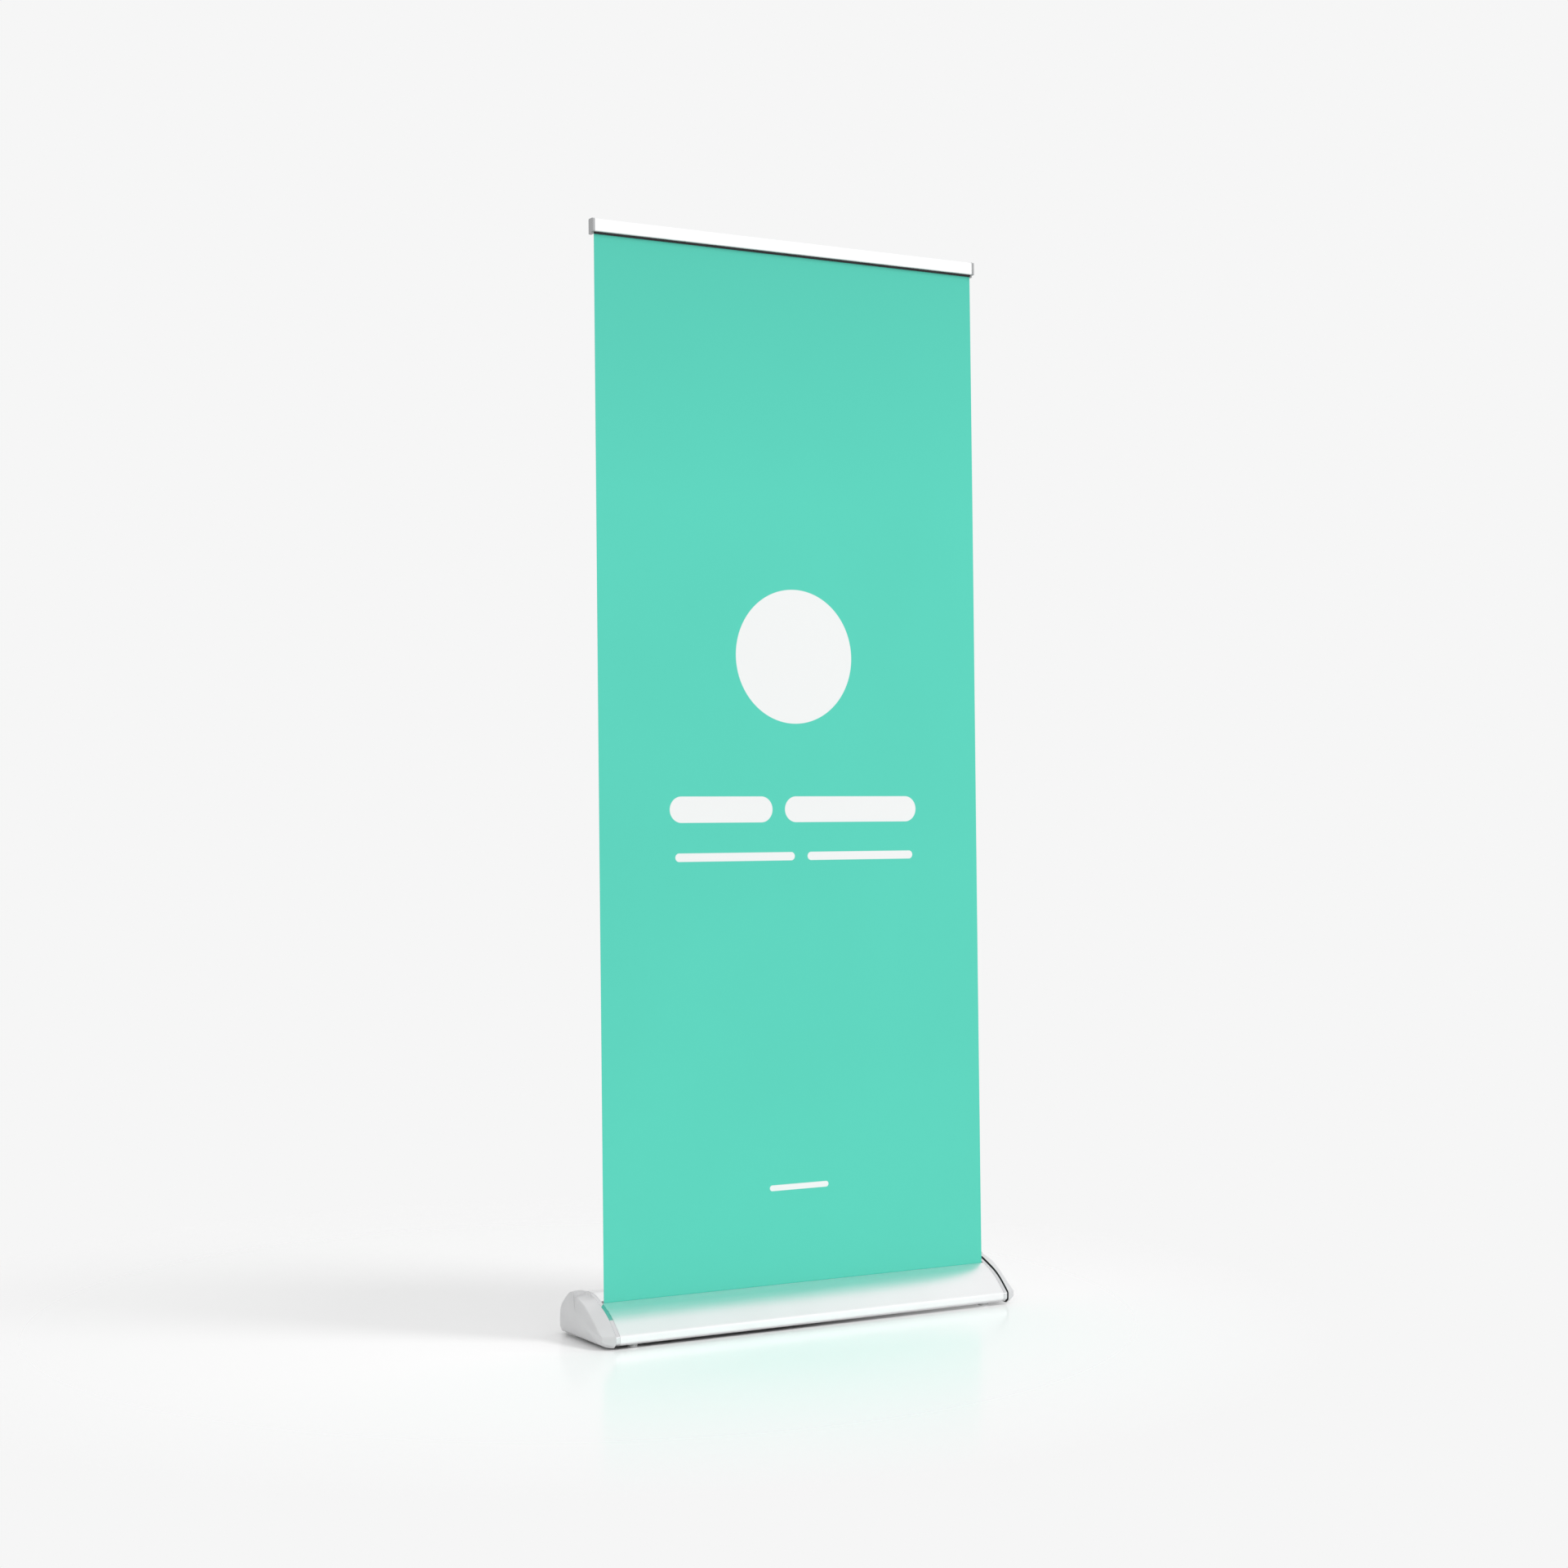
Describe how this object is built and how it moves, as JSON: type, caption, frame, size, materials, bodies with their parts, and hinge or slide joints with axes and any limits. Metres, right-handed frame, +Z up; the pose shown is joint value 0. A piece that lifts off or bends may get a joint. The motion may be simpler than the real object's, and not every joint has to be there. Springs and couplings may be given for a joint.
{
  "type": "roll-up banner stand",
  "caption": "Roll-up banner stand: teardrop cassette with spring roller, pull-out printed banner, snap-open top rail and telescopic support pole.",
  "frame": {"origin": "on the floor, under the middle of the base's box", "axes": "+X along the base to the right seen from the front, +Y from the printed side to the back, +Z up"},
  "size_m": [0.9344, 0.209, 2.0962],
  "materials": {
    "satin_aluminium": "satin anodised silver extrusion",
    "polished_trim": "polished bright aluminium end plates",
    "silver_plastic": "satin silver moulded end covers",
    "banner_print": null,
    "rail_white": "aluminium with a bright white satin coat",
    "grey_plastic": "grey moulded plastic",
    "black_plastic": "black moulded plastic",
    "steel": "zinc-plated steel",
    "black_rubber": "black rubber",
    "foot_plastic": "light grey moulded plastic",
    "leader_film": "off-white leader film"
  },
  "bodies": {
    "root": {"cassette_shell": "satin_aluminium", "end_plate_left": "polished_trim", "end_plate_right": "polished_trim", "end_cap_left": "silver_plastic", "end_cap_right": "silver_plastic", "pole_socket": "black_plastic", "rear_pad_left": "black_rubber", "rear_pad_right": "black_rubber", "foot_insert_left": "steel", "foot_insert_right": "steel", "spring_shaft": "steel", "shaft_retainer": "steel", "spring_collar": "black_plastic", "torsion_spring": "steel", "idler_pin": "steel", "pin_retainer": "steel", "banner_sheet": "banner_print", "pole_lower": "satin_aluminium", "pole_foot_plug": "black_plastic", "lock_collar_lower": "black_plastic", "lock_collet_lower": "grey_plastic", "lever_pin_lower": "steel", "plate_screw_left_1": "steel", "plate_screw_left_2": "steel", "plate_screw_left_3": "steel", "plate_screw_left_4": "steel", "plate_screw_right_1": "steel", "plate_screw_right_2": "steel", "plate_screw_right_3": "steel", "plate_screw_right_4": "steel"},
    "top_rail": {"rail_back": "rail_white", "rail_cap_left": "grey_plastic", "rail_cap_right": "grey_plastic"},
    "rail_jaw": {"rail_jaw": "rail_white", "rail_grip_strip": "black_rubber"},
    "pole_mid": {"pole_mid": "satin_aluminium", "mid_end_plug": "black_plastic", "lock_collar_mid": "black_plastic", "lock_collet_mid": "grey_plastic", "lever_pin_mid": "steel"},
    "pole_upper": {"pole_upper": "satin_aluminium", "upper_end_plug": "black_plastic", "pole_hook": "black_plastic"},
    "roller": {"roller_tube": "satin_aluminium", "drive_plug": "black_plastic", "spring_carrier": "black_plastic", "idler_plug": "black_plastic", "leader_strip": "leader_film", "banner_roll": "banner_print"},
    "lever_lower": {"lock_lever_lower": "black_plastic"},
    "lever_mid": {"lock_lever_mid": "black_plastic"},
    "foot_left": {"foot_pad_left": "foot_plastic"},
    "foot_knob_left": {"foot_stud_left": "foot_plastic"},
    "foot_right": {"foot_pad_right": "foot_plastic"},
    "foot_knob_right": {"foot_stud_right": "foot_plastic"}
  },
  "joints": [
    {"name": "banner_pull", "type": "slide", "parent": "root", "child": "top_rail", "axis": [0, 0.0213, 0.9998], "range_m": [-1.2, 0], "deforming": ["banner_sheet"]},
    {"name": "pole_mid_slide", "type": "slide", "parent": "root", "child": "pole_mid", "axis": [0, 0.0213, 0.9998], "range_m": [-0.6, 0]},
    {"name": "pole_upper_slide", "type": "slide", "parent": "pole_mid", "child": "pole_upper", "axis": [0, 0.0213, 0.9998], "range_m": [-0.6, 0]},
    {"name": "roller_spin", "type": "hinge", "parent": "root", "child": "roller", "pos_m": [0, -0.047, 0.0324], "axis": [1, 0, 0], "range_deg": [-3790, 0]},
    {"name": "rail_jaw_hinge", "type": "hinge", "parent": "top_rail", "child": "rail_jaw", "pos_m": [0, 0.01341, 2.09158], "axis": [-1, 0, 0], "range_deg": [0, 35]},
    {"name": "lever_lower_hinge", "type": "hinge", "parent": "root", "child": "lever_lower", "pos_m": [0, 0.05734, 0.73283], "axis": [1, 0, 0], "range_deg": [0, 95]},
    {"name": "lever_mid_hinge", "type": "hinge", "parent": "pole_mid", "child": "lever_mid", "pos_m": [0, 0.07003, 1.39916], "axis": [1, 0, 0], "range_deg": [0, 95]},
    {"name": "foot_left_slide", "type": "slide", "parent": "root", "child": "foot_left", "axis": [0, 0, 1], "range_m": [-0.008, 0]},
    {"name": "foot_left_turn", "type": "hinge", "parent": "foot_left", "child": "foot_knob_left", "pos_m": [-0.392, -0.08, 0.004], "axis": [0, 0, 1], "range_deg": [-2880, 0]},
    {"name": "foot_right_slide", "type": "slide", "parent": "root", "child": "foot_right", "axis": [0, 0, 1], "range_m": [-0.008, 0]},
    {"name": "foot_right_turn", "type": "hinge", "parent": "foot_right", "child": "foot_knob_right", "pos_m": [0.392, -0.08, 0.004], "axis": [0, 0, 1], "range_deg": [-2880, 0]}
  ],
  "couplings": [
    {"joint": "pole_mid_slide", "follows": "banner_pull", "ratio": 0.5},
    {"joint": "pole_upper_slide", "follows": "banner_pull", "ratio": 0.5},
    {"joint": "roller_spin", "follows": "banner_pull", "rad_per_m": 55.1},
    {"joint": "foot_left_turn", "follows": "foot_left_slide", "rad_per_m": 6283},
    {"joint": "foot_right_turn", "follows": "foot_right_slide", "rad_per_m": 6283}
  ]
}
